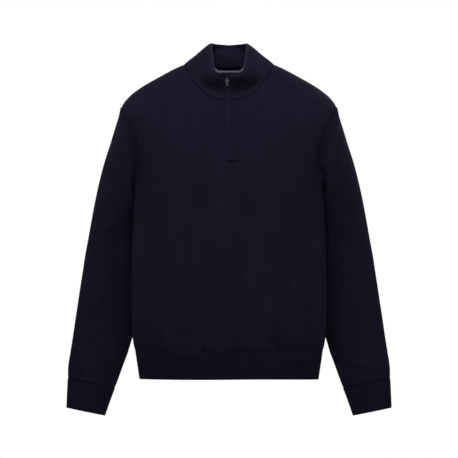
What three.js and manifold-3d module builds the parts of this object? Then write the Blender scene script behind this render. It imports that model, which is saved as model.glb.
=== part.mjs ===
// A men's quarter zip sweater in navy knit, worn and hollow, with nobody in it.
// Millimetres, +Z up, the front faces -Y and the wearer's left is +X.
// Heights in the tables are above the hem. The last group drops them to where shoulders hold it.

import * as THREE from 'three';
import { mergeVertices } from 'three/addons/utils/BufferGeometryUtils.js';
import Module from 'manifold-3d';

const wasm = await Module();
wasm.setup();

// Driving sizes
const HOLD_HEIGHT = 650;
const KNIT = 1.6;
const RIB_KNIT = 2;
const COLLAR_KNIT = 3;
const SEAM_GAP = 0.3;
const RIB_PITCH = 6;
const RIB_RISE = 0.6;
const RIB_HEIGHT = 60;
const AROUND_BODY = 44;
const AROUND_SLEEVE = 22;
const BACK_SQUARE = 2.1;

// Colours
const navy = (shade) => new THREE.Color(0.0095 * shade, 0.0085 * shade, 0.018 * shade);
const knitMaterial = (name, shade) => new THREE.MeshStandardMaterial({
  name, color: navy(shade), roughness: 0.95, metalness: 0,
});
const metalMaterial = (name) => new THREE.MeshStandardMaterial({
  name, color: new THREE.Color(0.09, 0.09, 0.1), roughness: 0.38, metalness: 0.9,
});

// A table's row at a fractional place, each named column on a smooth curve through the rows.
function rowAt(table, place) {
  const low = Math.min(Math.floor(place), table.length - 2);
  const t = place - low;
  const row = {};
  for (const name of Object.keys(table[0])) {
    const b = table[low][name];
    const c = table[low + 1][name];
    const a = low > 0 ? table[low - 1][name] : 2 * b - c;
    const d = low + 2 < table.length ? table[low + 2][name] : 2 * c - b;
    const bend = 2 * a - 5 * b + 4 * c - d;
    const twist = 3 * b - a - 3 * c + d;
    row[name] = 0.5 * (2 * b + t * (c - a) + t * t * bend + t * t * t * twist);
  }
  return row;
}

const power = (value, exponent) => Math.sign(value) * Math.abs(value) ** exponent;

// A ring of the body or collar: an oval that is squarer with `square`, with its own height at
// the sides, the front and the back. Angle 0 is the wearer's left side, and it runs to the back.
function ovalPoint(row, angle) {
  const atFront = Math.sin(angle) < 0;
  const square = atFront ? row.square : Math.min(row.square, BACK_SQUARE);
  const across = power(Math.cos(angle), 2 / square);
  const through = power(Math.sin(angle), 2 / square);
  const depth = atFront ? row.front : row.back;
  const middle = atFront ? row.frontZ : row.backZ;
  const lift = Math.abs(across) ** (row.dip ?? 2.5);
  return new THREE.Vector3(row.side * across, depth * through, middle + (row.sideZ - middle) * lift);
}

// The unit normals of a grid of points, pointing out, from its neighbours on each side.
function gridNormals(grid, wraps) {
  const last = grid.length - 1;
  return grid.map((row, i) => row.map((point, j) => {
    const count = row.length;
    const up = grid[Math.min(i + 1, last)][j].clone().sub(grid[Math.max(i - 1, 0)][j]);
    const next = wraps ? (j + 1) % count : Math.min(j + 1, count - 1);
    const before = wraps ? (j + count - 1) % count : Math.max(j - 1, 0);
    const along = row[next].clone().sub(row[before]);
    return along.cross(up).normalize();
  }));
}

// Moves each point of a grid along its normal by a distance, or by what a function gives.
function moved(grid, normals, distance) {
  return grid.map((row, i) => row.map((point, j) => {
    const far = typeof distance === 'function' ? distance(point, normals[i][j], i, j) : distance;
    return point.clone().addScaledVector(normals[i][j], far);
  }));
}

// A closed wall between an outer and an inner grid. A wrapped grid has no side edges.
function wall(outer, inner, wraps) {
  const rows = outer.length;
  const columns = outer[0].length;
  const vertices = [];
  for (const grid of [outer, inner]) {
    for (const row of grid) {
      for (const point of row) vertices.push(point.x, point.y, point.z);
    }
  }
  const at = (side, i, j) => (side * rows + i) * columns + (j % columns);
  const faces = [];
  const quad = (a, b, c, d) => faces.push(a, b, c, a, c, d);
  const steps = wraps ? columns : columns - 1;
  for (let j = 0; j < steps; j += 1) {
    for (let i = 0; i < rows - 1; i += 1) {
      quad(at(0, i, j), at(0, i, j + 1), at(0, i + 1, j + 1), at(0, i + 1, j));
      quad(at(1, i, j), at(1, i + 1, j), at(1, i + 1, j + 1), at(1, i, j + 1));
    }
    quad(at(1, 0, j), at(1, 0, j + 1), at(0, 0, j + 1), at(0, 0, j));
    quad(at(0, rows - 1, j), at(0, rows - 1, j + 1), at(1, rows - 1, j + 1), at(1, rows - 1, j));
  }
  for (let i = 0; i < rows - 1 && !wraps; i += 1) {
    quad(at(1, i, 0), at(0, i, 0), at(0, i + 1, 0), at(1, i + 1, 0));
    const end = columns - 1;
    quad(at(0, i, end), at(1, i, end), at(1, i + 1, end), at(0, i + 1, end));
  }
  const geometry = new THREE.BufferGeometry();
  geometry.setAttribute('position', new THREE.Float32BufferAttribute(vertices, 3));
  geometry.setIndex(faces);
  return geometry;
}

function toManifold(geometry) {
  const bare = geometry.clone();
  bare.deleteAttribute('normal');
  bare.deleteAttribute('uv');
  const merged = mergeVertices(bare, 1e-4);
  return new wasm.Manifold(new wasm.Mesh({
    numProp: 3,
    vertProperties: new Float32Array(merged.attributes.position.array),
    triVerts: new Uint32Array(merged.index.array),
  }));
}

function fromManifold(solid) {
  const mesh = solid.getMesh();
  const geometry = new THREE.BufferGeometry();
  geometry.setAttribute('position', new THREE.Float32BufferAttribute(mesh.vertProperties, 3));
  geometry.setIndex([...mesh.triVerts]);
  return geometry;
}

// A geometry with others cut out of it.
function cutBy(geometry, ...cutters) {
  let solid = toManifold(geometry);
  for (const cutter of cutters) solid = solid.subtract(toManifold(cutter));
  return fromManifold(solid);
}

function mirrored(geometry) {
  const copy = geometry.clone().scale(-1, 1, 1);
  const index = [...copy.index.array];
  for (let k = 0; k < index.length; k += 3) [index[k], index[k + 1]] = [index[k + 1], index[k]];
  copy.setIndex(index);
  return copy;
}

// Soft folds: ridges (rise over 0) and troughs along a line from x1, z1 to x2, z2.
function foldRise(folds, point, facing) {
  let rise = 0;
  for (const fold of folds) {
    const dx = fold.x2 - fold.x1;
    const dz = fold.z2 - fold.z1;
    const px = point.x - fold.x1;
    const pz = point.z - fold.z1;
    const t = Math.min(Math.max((px * dx + pz * dz) / (dx * dx + dz * dz), 0), 1);
    const away = Math.hypot(px - t * dx, pz - t * dz) / fold.width;
    rise += fold.rise * Math.exp(-away * away) * Math.max(facing, 0);
  }
  return rise;
}

// The body, from the top of the hem rib over the shoulders to the neckline
const bodyRows = [
  { side: 201.4, front: 108, back: 95, sideZ: 60.5, frontZ: 60.5, backZ: 60.5, square: 2.4 },
  { side: 205.8, front: 113.5, back: 97, sideZ: 78, frontZ: 78, backZ: 78, square: 2.4 },
  { side: 209, front: 115.5, back: 97.5, sideZ: 112, frontZ: 112, backZ: 112, square: 2.4 },
  { side: 210.3, front: 115.5, back: 95, sideZ: 165, frontZ: 165, backZ: 165, square: 2.4 },
  { side: 210, front: 115.5, back: 94, sideZ: 225, frontZ: 225, backZ: 225, square: 2.4 },
  { side: 209, front: 117, back: 97, sideZ: 285, frontZ: 285, backZ: 285, square: 2.4 },
  { side: 206.5, front: 119, back: 102, sideZ: 343, frontZ: 340, backZ: 343, square: 2.4 },
  { side: 204.4, front: 121, back: 107, sideZ: 395, frontZ: 388, backZ: 393, square: 2.4 },
  { side: 206, front: 121.5, back: 110.5, sideZ: 444, frontZ: 430, backZ: 441, square: 2.4 },
  { side: 214.5, front: 119.5, back: 112, sideZ: 494, frontZ: 467, backZ: 488, square: 2.4 },
  { side: 225, front: 115, back: 110.5, sideZ: 543, frontZ: 502, backZ: 535, square: 2.4 },
  { side: 231.6, front: 110, back: 106.5, sideZ: 575, frontZ: 526, backZ: 570, square: 2.35 },
  { side: 228, front: 106.5, back: 103, sideZ: 591, frontZ: 541, backZ: 591, square: 2.3 },
  { side: 211, front: 103, back: 99.5, sideZ: 611, frontZ: 553, backZ: 608, square: 2.2 },
  { side: 184.4, front: 98.5, back: 94, sideZ: 630.4, frontZ: 566, backZ: 626, square: 2.1 },
  { side: 154.4, front: 93.5, back: 86, sideZ: 647.6, frontZ: 579, backZ: 645, square: 2.05 },
  { side: 122.6, front: 88.5, back: 76, sideZ: 664.8, frontZ: 590, backZ: 661, square: 2 },
  { side: 96.5, front: 84, back: 66, sideZ: 677, frontZ: 599.5, backZ: 672, square: 2 },
];
const BODY_STEPS = 24;

// Main soft folds of the front and back, mild as the photo shows them
const frontFolds = [
  { x1: -120, z1: 78, x2: -62, z2: 74, width: 11, rise: 3.2 },
  { x1: -92, z1: 96, x2: -54, z2: 62, width: 7, rise: -2.6 },
  { x1: -40, z1: 100, x2: -26, z2: 66, width: 10, rise: 2.6 },
  { x1: 128, z1: 84, x2: 172, z2: 66, width: 12, rise: -2.4 },
  { x1: 70, z1: 168, x2: 98, z2: 78, width: 12, rise: 2.4 },
  { x1: 2, z1: 350, x2: -4, z2: 180, width: 30, rise: 2.2 },
  { x1: 98, z1: 360, x2: 104, z2: 240, width: 20, rise: 2 },
  { x1: 60, z1: 360, x2: 52, z2: 190, width: 16, rise: -1.8 },
  { x1: -176, z1: 392, x2: -150, z2: 300, width: 14, rise: -2 },
  { x1: 178, z1: 396, x2: 150, z2: 290, width: 14, rise: -2.2 },
];
const backFolds = [
  { x1: -110, z1: 80, x2: -40, z2: 76, width: 12, rise: 3 },
  { x1: 50, z1: 84, x2: 120, z2: 78, width: 11, rise: 2.8 },
  { x1: 4, z1: 118, x2: 14, z2: 66, width: 11, rise: -2.4 },
  { x1: -96, z1: 230, x2: -120, z2: 110, width: 15, rise: 2.6 },
  { x1: 92, z1: 250, x2: 124, z2: 126, width: 16, rise: 2.2 },
  { x1: -6, z1: 420, x2: 2, z2: 210, width: 26, rise: -2.2 },
  { x1: -168, z1: 400, x2: -140, z2: 280, width: 15, rise: -2.4 },
  { x1: 170, z1: 404, x2: 138, z2: 300, width: 15, rise: -2 },
];

function bodyGrid() {
  const grid = [];
  for (let i = 0; i <= BODY_STEPS; i += 1) {
    const row = rowAt(bodyRows, (i / BODY_STEPS) * (bodyRows.length - 1));
    const ring = [];
    for (let j = 0; j < AROUND_BODY; j += 1) {
      ring.push(ovalPoint(row, (j / AROUND_BODY) * 2 * Math.PI));
    }
    grid.push(ring);
  }
  const normals = gridNormals(grid, true);
  return moved(grid, normals, (point, normal) => {
    const folds = normal.y < 0 ? frontFolds : backFolds;
    return foldRise(folds, point, Math.abs(normal.y));
  });
}

const bodyOuter = bodyGrid();
const bodyNormals = gridNormals(bodyOuter, true);
const bodyInner = moved(bodyOuter, bodyNormals, -KNIT);

// Half of a ring grid, its two seam edges drawn back from the side plane by half the gap.
function halfGrid(grid, start, backward) {
  const half = AROUND_BODY / 2;
  return grid.map((row) => {
    const part = [];
    for (let k = 0; k <= half; k += 1) {
      const point = row[(start + k) % AROUND_BODY].clone();
      if (k === 0 || k === half) point.y = backward * SEAM_GAP * 0.5;
      part.push(point);
    }
    return part;
  });
}

// Armholes: an oval tunnel along X through the body's side
const armhole = { y: 3, z: 494, halfDepth: 62, halfHeight: 87 };

function armholeCutter() {
  const shape = new THREE.CylinderGeometry(1, 1, 200, 48);
  shape.rotateZ(Math.PI / 2);
  shape.scale(1, armhole.halfDepth, armhole.halfHeight);
  shape.translate(230, armhole.y, armhole.z);
  return shape;
}

// The zip runs a little askew, as it hangs, from the collar's top to its stitched foot.
const zip = { topX: -4.6, footX: 2.6, topZ: 659, footZ: 471 };
const zipX = (z) => zip.footX + ((zip.topX - zip.footX) * (z - zip.footZ)) / (zip.topZ - zip.footZ);
const slotRows = [
  { z: zip.footZ, half: 4.5 },
  { z: 646, half: 4.5 },
  { z: 652, half: 3 },
  { z: 680, half: 3 },
];

function zipSlot() {
  const outline = new THREE.Shape();
  slotRows.forEach(({ z, half }, k) => {
    if (k === 0) outline.moveTo(zipX(z) + half, z);
    else outline.lineTo(zipX(z) + half, z);
  });
  for (const { z, half } of [...slotRows].reverse()) outline.lineTo(zipX(z) - half, z);
  outline.closePath();
  const slot = new THREE.ExtrudeGeometry(outline, { depth: 90, bevelEnabled: false });
  slot.rotateX(Math.PI / 2);
  slot.translate(0, -50, 0);
  return slot;
}

const sideSeam = AROUND_BODY / 2;
const frontHalf = (grid) => halfGrid(grid, sideSeam, -1);
const frontWall = wall(frontHalf(bodyOuter), frontHalf(bodyInner), false);
const backWall = wall(halfGrid(bodyOuter, 0, 1), halfGrid(bodyInner, 0, 1), false);
const armholes = [armholeCutter(), mirrored(armholeCutter())];
const frontPanel = cutBy(frontWall, ...armholes, zipSlot());
const backPanel = cutBy(backWall, ...armholes);

// The sleeve on the wearer's left. Each ring runs from its outer end to its inner end, so the
// rings fan round the underarm and then hang down, with the inner end tucked behind the body.
const sleeveRows = [
  { outX: 237.8, outZ: 563, outY: 3, inX: 207.4, inZ: 396.5, inY: 7, thick: 65.5 },
  { outX: 245.5, outZ: 538, outY: 3, inX: 206.9, inZ: 380.5, inY: 16, thick: 65 },
  { outX: 255.4, outZ: 504, outY: 4, inX: 206, inZ: 361.5, inY: 27, thick: 62 },
  { outX: 265.8, outZ: 470, outY: 6, inX: 205.9, inZ: 342, inY: 39, thick: 57.5 },
  { outX: 275, outZ: 436, outY: 9, inX: 204.9, inZ: 320, inY: 50, thick: 53 },
  { outX: 283, outZ: 402, outY: 12, inX: 203.4, inZ: 298, inY: 59.5, thick: 48 },
  { outX: 290.2, outZ: 367, outY: 15, inX: 201.8, inZ: 275, inY: 67.5, thick: 43.5 },
  { outX: 296.6, outZ: 333, outY: 18, inX: 200.5, inZ: 251, inY: 73, thick: 40 },
  { outX: 302.8, outZ: 298, outY: 20, inX: 198, inZ: 226, inY: 76, thick: 37.5 },
  { outX: 308.8, outZ: 264, outY: 22, inX: 198, inZ: 200, inY: 77, thick: 35.5 },
  { outX: 314.2, outZ: 230, outY: 24, inX: 199, inZ: 173, inY: 76, thick: 34 },
  { outX: 319.8, outZ: 196, outY: 25, inX: 201, inZ: 146, inY: 73, thick: 32 },
  { outX: 325, outZ: 162, outY: 26, inX: 203.5, inZ: 118, inY: 69, thick: 30 },
  { outX: 330.4, outZ: 127, outY: 26, inX: 208.2, inZ: 90, inY: 64, thick: 28 },
  { outX: 335.4, outZ: 93, outY: 25, inX: 216.6, inZ: 62, inY: 60, thick: 26.5 },
  { outX: 341, outZ: 58, outY: 26, inX: 227, inZ: 34, inY: 56, thick: 25 },
  { outX: 345.8, outZ: 28, outY: 27, inX: 237, inZ: 6, inY: 53, thick: 24 },
  { outX: 346.6, outZ: 1.6, outY: 28, inX: 246.2, inZ: -19.4, inY: 50, thick: 23 },
];
const cuffRows = [
  { outX: 346.7, outZ: 0.8, outY: 28, inX: 246.3, inZ: -20.2, inY: 50, thick: 23 },
  { outX: 348, outZ: -26, outY: 29, inX: 255, inZ: -43, inY: 48.5, thick: 22.5 },
  { outX: 349.6, outZ: -61.2, outY: 30, inX: 267.4, inZ: -78.4, inY: 47, thick: 22 },
];

// Turn 0 is the outer end of the ring, and it runs to the back.
function sleevePoint(row, turn) {
  const outer = new THREE.Vector3(row.outX, row.outY, row.outZ);
  const inner = new THREE.Vector3(row.inX, row.inY, row.inZ);
  const centre = outer.clone().add(inner).multiplyScalar(0.5);
  const reach = outer.clone().sub(inner).multiplyScalar(0.5);
  const across = new THREE.Vector3(0, 1, 0);
  across.addScaledVector(reach, -reach.y / reach.lengthSq()).normalize();
  return centre
    .addScaledVector(reach, power(Math.cos(turn), 0.92))
    .addScaledVector(across, row.thick * power(Math.sin(turn), 0.92));
}

// The sleeve's first ring lies just clear of the body's surface, round the armhole.
const LAP = 2.2;
const CLEAR = 1.85;
const bodySurface = new THREE.Mesh(wall(bodyOuter, bodyInner, true));
bodySurface.updateMatrixWorld();
bodySurface.geometry.computeBoundingSphere();

function armholeRing(count, outside) {
  const ring = [];
  const ray = new THREE.Raycaster();
  for (let k = 0; k < count; k += 1) {
    const turn = (k / count) * 2 * Math.PI;
    const crown = Math.max(Math.cos(turn), 0);
    const grow = LAP + KNIT * (outside ? 1 : crown);
    const lift = CLEAR + KNIT * (outside ? crown : 0);
    const y = armhole.y + (armhole.halfDepth + grow) * Math.sin(turn);
    const z = armhole.z + (armhole.halfHeight + grow) * Math.cos(turn);
    ray.set(new THREE.Vector3(400, y, z), new THREE.Vector3(-1, 0, 0));
    const hit = ray.intersectObject(bodySurface)[0];
    ring.push(hit.point.clone().addScaledVector(hit.face.normal, lift));
  }
  return ring;
}

const sleeveFolds = [
  { x1: 228, z1: 470, x2: 268, z2: 402, width: 12, rise: -2.6 },
  { x1: 220, z1: 420, x2: 262, z2: 330, width: 11, rise: 2.4 },
  { x1: 216, z1: 300, x2: 286, z2: 262, width: 12, rise: -2.4 },
  { x1: 226, z1: 236, x2: 300, z2: 214, width: 11, rise: 2.2 },
  { x1: 236, z1: 168, x2: 300, z2: 128, width: 10, rise: -2 },
  { x1: 246, z1: 44, x2: 316, z2: 22, width: 8, rise: 2.2 },
  { x1: 262, z1: 20, x2: 322, z2: 6, width: 6, rise: -1.8 },
];

function ringGrid(rows, steps, count) {
  const grid = [];
  for (let i = 0; i <= steps; i += 1) {
    const row = rowAt(rows, (i / steps) * (rows.length - 1));
    const ring = [];
    for (let k = 0; k < count; k += 1) ring.push(sleevePoint(row, (k / count) * 2 * Math.PI));
    grid.push(ring);
  }
  return grid;
}

const SLEEVE_STEPS = 17;
function sleeveGeometry() {
  const plain = ringGrid(sleeveRows, SLEEVE_STEPS, AROUND_SLEEVE).reverse();
  const rings = [...plain, armholeRing(AROUND_SLEEVE, true)];
  const smooth = rings.length - 2;
  const outer = moved(rings, gridNormals(rings, true), (point, normal, i) => (
    i < smooth ? foldRise(sleeveFolds, point, Math.abs(normal.y)) : 0
  ));
  const inner = moved(outer, gridNormals(outer, true), -KNIT);
  inner[inner.length - 1] = armholeRing(AROUND_SLEEVE, false);
  return wall(outer, inner, true);
}

const sleeveLeft = sleeveGeometry();

// Stand collar of doubled knit: it leans in at the sides and back, and its front is hollow
// above the seam and leans out to the top edge
const collarRows = [
  { side: 95.8, front: 83.7, back: 65.5, sideZ: 677.5, frontZ: 600.1, backZ: 672.6, square: 2, dip: 2.5 },
  { side: 85.9, front: 82, back: 61, sideZ: 686.3, frontZ: 612, backZ: 681, square: 2.05, dip: 2.8 },
  { side: 74.6, front: 81.6, back: 57, sideZ: 694.9, frontZ: 624, backZ: 690, square: 2.15, dip: 3.3 },
  { side: 64.5, front: 83, back: 53, sideZ: 703.5, frontZ: 635, backZ: 699, square: 2.3, dip: 4.2 },
  { side: 54.9, front: 86.5, back: 49, sideZ: 712.2, frontZ: 645.5, backZ: 708.4, square: 2.45, dip: 5.6 },
  { side: 48.2, front: 90.5, back: 46, sideZ: 718.4, frontZ: 652.5, backZ: 714.6, square: 2.55, dip: 7 },
  { side: 43.2, front: 93, back: 43.5, sideZ: 722, frontZ: 657.4, backZ: 717.8, square: 2.6, dip: 8.5 },
];
const collarOuter = collarRows.map((row) => (
  Array.from({ length: AROUND_BODY }, (_, j) => ovalPoint(row, (j / AROUND_BODY) * 2 * Math.PI))
));
const collarNormals = gridNormals(collarOuter, true);
const collarInner = moved(collarOuter, collarNormals, -COLLAR_KNIT);
const collarWall = wall(collarOuter, collarInner, true);
const collar = cutBy(collarWall, zipSlot());

// A point on the front of the uncut body and collar, moved out by a distance
const frontSurface = new THREE.Group();
frontSurface.add(bodySurface, new THREE.Mesh(collarWall));
frontSurface.updateMatrixWorld(true);

function frontPoint(x, z, out) {
  const from = new THREE.Vector3(x, -300, z);
  const ray = new THREE.Raycaster(from, new THREE.Vector3(0, 1, 0));
  const hit = ray.intersectObject(frontSurface, true)[0];
  return hit.point.clone().addScaledVector(hit.face.normal, out);
}

// A strip on the front from one height to another. Each column has its own place across, from
// the middle of the zip, and its own height over the cloth.
function zipStrip(lowZ, highZ, steps, columns, thickness) {
  const grids = [0, -thickness].map((under) => {
    const grid = [];
    for (let i = 0; i <= steps; i += 1) {
      const z = lowZ + ((highZ - lowZ) * i) / steps;
      grid.push(columns.map(({ across, out }) => frontPoint(zipX(z) + across, z, out + under)));
    }
    return grid;
  });
  return wall(grids[0], grids[1], false);
}
const acrossTo = (side, columns) => (side > 0 ? columns : columns
  .map(({ across, out }) => ({ across: -across, out })).reverse());

const TAPE_DEPTH = COLLAR_KNIT + 1.05;
const tapeColumns = [{ across: 0.6, out: -TAPE_DEPTH }, { across: 11, out: -TAPE_DEPTH }];
const weltColumns = [{ across: 0.4, out: 0.3 }, { across: 2.3, out: 0.9 }, { across: 4.15, out: 0.3 }];
const weltTopZ = 629;
const tape = (side) => zipStrip(zip.footZ - 4, 656, 14, acrossTo(side, tapeColumns), 0.8);
const welt = (side) => zipStrip(zip.footZ + 0.6, weltTopZ, 12, acrossTo(side, weltColumns), 1.8);
const footColumns = [{ across: -6.5, out: 1.3 }, { across: 5, out: 1.3 }, { across: 17, out: 1.3 }];
const zipFoot = zipStrip(zip.footZ - 3.6, zip.footZ - 0.4, 1, footColumns, 0.8);

// Lighter edge on the collar's front top, in two strips that stop at the zip
const edge = { leftX: -29, rightX: 33, height: 2.6, steps: 6, clear: 0.95, lean: 1.3 };
function collarEdge(fromX, toX) {
  const rim = collarRows[collarRows.length - 1];
  const grids = [0, 1].map((inside) => {
    const grid = [[], []];
    for (let k = 0; k <= edge.steps; k += 1) {
      const x = fromX + ((toX - fromX) * k) / edge.steps;
      const across = Math.abs(x) / rim.side;
      const rimZ = rim.frontZ + (rim.sideZ - rim.frontZ) * across ** rim.dip;
      const rimY = -rim.front * (1 - across ** rim.square) ** (1 / rim.square);
      const y = rimY + inside * COLLAR_KNIT;
      const z = rimZ + edge.clear + inside * edge.lean;
      grid[0].push(new THREE.Vector3(x, y, z));
      grid[1].push(new THREE.Vector3(x, y - 0.4, z + edge.height));
    }
    return grid;
  });
  return wall(grids[0], grids[1], false);
}
const rimZipX = zipX(zip.topZ);
const collarEdgeRight = collarEdge(edge.leftX, rimZipX - 3.1);
const collarEdgeLeft = collarEdge(rimZipX + 3.1, edge.rightX);

// Ribbed knit: even ribs raised on the outside of a plain inside
function evenRing(pointAt, count) {
  const fine = 720;
  const points = Array.from({ length: fine + 1 }, (_, k) => pointAt((k / fine) * 2 * Math.PI));
  const length = [0];
  for (let k = 1; k <= fine; k += 1) length.push(length[k - 1] + points[k].distanceTo(points[k - 1]));
  const ring = [];
  let k = 0;
  for (let j = 0; j < count; j += 1) {
    const wanted = (length[fine] * j) / count;
    while (length[k + 1] < wanted) k += 1;
    const part = (wanted - length[k]) / (length[k + 1] - length[k]);
    ring.push(points[k].clone().lerp(points[k + 1], part));
  }
  return { ring, girth: length[fine] };
}

function ribbedTube(rows, pointOf) {
  const girth = evenRing((angle) => pointOf(rows[0], angle), 12).girth;
  const columns = 2 * Math.round(girth / RIB_PITCH);
  const base = rows.map((row) => evenRing((angle) => pointOf(row, angle), columns).ring);
  const normals = gridNormals(base, true);
  const outer = moved(base, normals, (point, normal, i, j) => (j % 2 ? RIB_RISE : 0));
  return wall(outer, moved(base, normals, -RIB_KNIT), true);
}

const hemRows = [
  { side: 192.4, front: 104, back: 91, sideZ: 0, frontZ: 0, backZ: 0, square: 2.4 },
  {
    side: 201,
    front: 107.6,
    back: 94.6,
    sideZ: RIB_HEIGHT,
    frontZ: RIB_HEIGHT,
    backZ: RIB_HEIGHT,
    square: 2.4,
  },
];
const hemRib = ribbedTube(hemRows, ovalPoint);
const cuffLeft = ribbedTube([...cuffRows].reverse(), sleevePoint);

// Zip slider: a waisted body in the slot with a bridge on its face, which holds the pull tab
const slider = { z: 639, halfTop: 4, halfFoot: 3.2, halfHeight: 4.6, bridge: 1, lift: 2.6, strap: 0.9 };
const sliderX = zipX(slider.z);
const clothY = frontPoint(sliderX, slider.z, 0).y;
const sliderBackY = frontPoint(sliderX, slider.z + slider.halfHeight, -TAPE_DEPTH).y - 0.35;
const sliderFaceY = clothY - 0.6;
const hinge = new THREE.Vector3(sliderX, sliderFaceY - slider.lift / 2, slider.z + 0.4);

function sliderGeometry() {
  const { halfTop, halfFoot, halfHeight, lift, strap } = slider;
  const body = new THREE.Shape();
  body.moveTo(-halfFoot, -halfHeight);
  body.lineTo(halfFoot, -halfHeight);
  body.quadraticCurveTo(halfFoot, 0, halfTop, halfHeight - 1.6);
  body.quadraticCurveTo(halfTop, halfHeight, halfTop - 1.6, halfHeight);
  body.lineTo(1.6 - halfTop, halfHeight);
  body.quadraticCurveTo(-halfTop, halfHeight, -halfTop, halfHeight - 1.6);
  body.quadraticCurveTo(-halfFoot, 0, -halfFoot, -halfHeight);
  const depth = sliderBackY - sliderFaceY;
  const plate = new THREE.ExtrudeGeometry(body, { depth, bevelEnabled: false, curveSegments: 4 });
  plate.rotateX(Math.PI / 2);
  plate.translate(sliderX, sliderBackY, slider.z);

  // The bridge in a plane through Y and Z: x of the outline is the way out, y is the height.
  const arch = new THREE.Shape();
  const legs = 3.4;
  arch.moveTo(-0.4, -legs);
  arch.lineTo(lift + strap - 1, -legs);
  arch.quadraticCurveTo(lift + strap, -legs, lift + strap, 1 - legs);
  arch.lineTo(lift + strap, legs - 1);
  arch.quadraticCurveTo(lift + strap, legs, lift + strap - 1, legs);
  arch.lineTo(-0.4, legs);
  arch.closePath();
  const eye = new THREE.Path();
  eye.moveTo(0, -2.1);
  eye.lineTo(0, 2.1);
  eye.lineTo(lift - 0.6, 2.1);
  eye.quadraticCurveTo(lift, 2.1, lift, 1.5);
  eye.lineTo(lift, -1.5);
  eye.quadraticCurveTo(lift, -2.1, lift - 0.6, -2.1);
  eye.closePath();
  arch.holes.push(eye);
  const width = 2 * slider.bridge;
  const flat = { depth: width, bevelEnabled: false, curveSegments: 4 };
  const bridge = new THREE.ExtrudeGeometry(arch, flat);
  bridge.translate(0, 0, -slider.bridge);
  const place = new THREE.Matrix4().makeBasis(
    new THREE.Vector3(0, -1, 0),
    new THREE.Vector3(0, 0, 1),
    new THREE.Vector3(-1, 0, 0),
  );
  bridge.applyMatrix4(place);
  bridge.translate(sliderX, sliderFaceY, hinge.z);
  return fromManifold(toManifold(plate).add(toManifold(bridge)));
}

// Pull tab: a thin plate that hangs from its top bar, with a slot for the bridge and a hole
function tabGeometry() {
  const tab = { half: 2.5, top: 0.65, foot: 10.4, thick: 1.2, round: 1.6 };
  const outline = new THREE.Shape();
  outline.moveTo(-tab.half, tab.top);
  outline.lineTo(-tab.half + 0.2, -tab.foot + tab.round);
  outline.quadraticCurveTo(-tab.half + 0.2, -tab.foot, -tab.half + tab.round, -tab.foot);
  outline.lineTo(tab.half - tab.round, -tab.foot);
  outline.quadraticCurveTo(tab.half - 0.2, -tab.foot, tab.half - 0.2, -tab.foot + tab.round);
  outline.lineTo(tab.half, tab.top);
  outline.closePath();
  const slot = new THREE.Path();
  slot.moveTo(-1.4, -0.65);
  slot.lineTo(-1.4, -4.5);
  slot.lineTo(1.4, -4.5);
  slot.lineTo(1.4, -0.65);
  slot.closePath();
  const hole = new THREE.Path();
  hole.absarc(0, -7.6, 1.25, 0, 2 * Math.PI, false);
  outline.holes.push(slot, hole);
  const depth = tab.thick;
  const plate = new THREE.ExtrudeGeometry(outline, { depth, bevelEnabled: false, curveSegments: 5 });
  plate.translate(0, 0, -depth / 2);
  plate.rotateX(Math.PI / 2);
  return fromManifold(toManifold(plate));
}

const knit = knitMaterial('knit', 1);
const rib = knitMaterial('rib', 0.85);
const edgeKnit = new THREE.MeshStandardMaterial({
  name: 'edge', color: new THREE.Color(0.107, 0.102, 0.138), roughness: 0.9, metalness: 0,
});
const tapeCloth = knitMaterial('tape', 0.8);
const metal = metalMaterial('metal');

const pieces = [
  ['front_panel', frontPanel, knit],
  ['back_panel', backPanel, knit],
  ['sleeve_left', sleeveLeft, knit],
  ['sleeve_right', mirrored(sleeveLeft), knit],
  ['collar', collar, rib],
  ['collar_edge_left', collarEdgeLeft, edgeKnit],
  ['collar_edge_right', collarEdgeRight, edgeKnit],
  ['hem_rib', hemRib, rib],
  ['cuff_left', cuffLeft, rib],
  ['cuff_right', mirrored(cuffLeft), rib],
  ['zip_welt_left', welt(1), rib],
  ['zip_welt_right', welt(-1), rib],
  ['zip_foot', zipFoot, rib],
  ['zip_tape_left', tape(1), tapeCloth],
  ['zip_tape_right', tape(-1), tapeCloth],
  ['zip_slider', sliderGeometry(), metal],
];

const garment = new THREE.Group();
for (const [name, geometry, material] of pieces) {
  const mesh = new THREE.Mesh(geometry, material);
  mesh.name = name;
  garment.add(mesh);
}
const pullTab = new THREE.Mesh(tabGeometry(), metal);
pullTab.name = 'pull_tab';
pullTab.position.copy(hinge);
garment.add(pullTab);
garment.position.z = -HOLD_HEIGHT;

export default garment;
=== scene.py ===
import math

import bpy
import numpy as np
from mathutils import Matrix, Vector
from mathutils.bvhtree import BVHTree


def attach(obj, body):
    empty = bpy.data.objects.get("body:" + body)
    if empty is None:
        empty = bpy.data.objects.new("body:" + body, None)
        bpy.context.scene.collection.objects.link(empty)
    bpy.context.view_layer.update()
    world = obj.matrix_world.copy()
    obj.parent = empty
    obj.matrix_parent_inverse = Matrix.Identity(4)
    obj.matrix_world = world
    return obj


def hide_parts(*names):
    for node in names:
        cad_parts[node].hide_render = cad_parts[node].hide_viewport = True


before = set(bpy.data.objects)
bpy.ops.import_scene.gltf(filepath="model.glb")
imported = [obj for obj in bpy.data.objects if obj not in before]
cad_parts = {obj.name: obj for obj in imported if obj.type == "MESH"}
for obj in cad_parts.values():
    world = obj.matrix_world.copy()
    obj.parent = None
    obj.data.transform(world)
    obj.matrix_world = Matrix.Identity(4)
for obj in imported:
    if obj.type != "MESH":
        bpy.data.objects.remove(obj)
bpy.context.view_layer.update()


# ---- Camera and lights
# The photo is level and nearly without perspective, so a long lens stands far off. A large
# soft lamp hangs above the front, with others at the front corners, beside and behind.
VIEW_WIDTH = 0.985
CAMERA_AWAY = 24.0
CAMERA_HEIGHT = -0.327
SURROUND = 0.02

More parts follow.
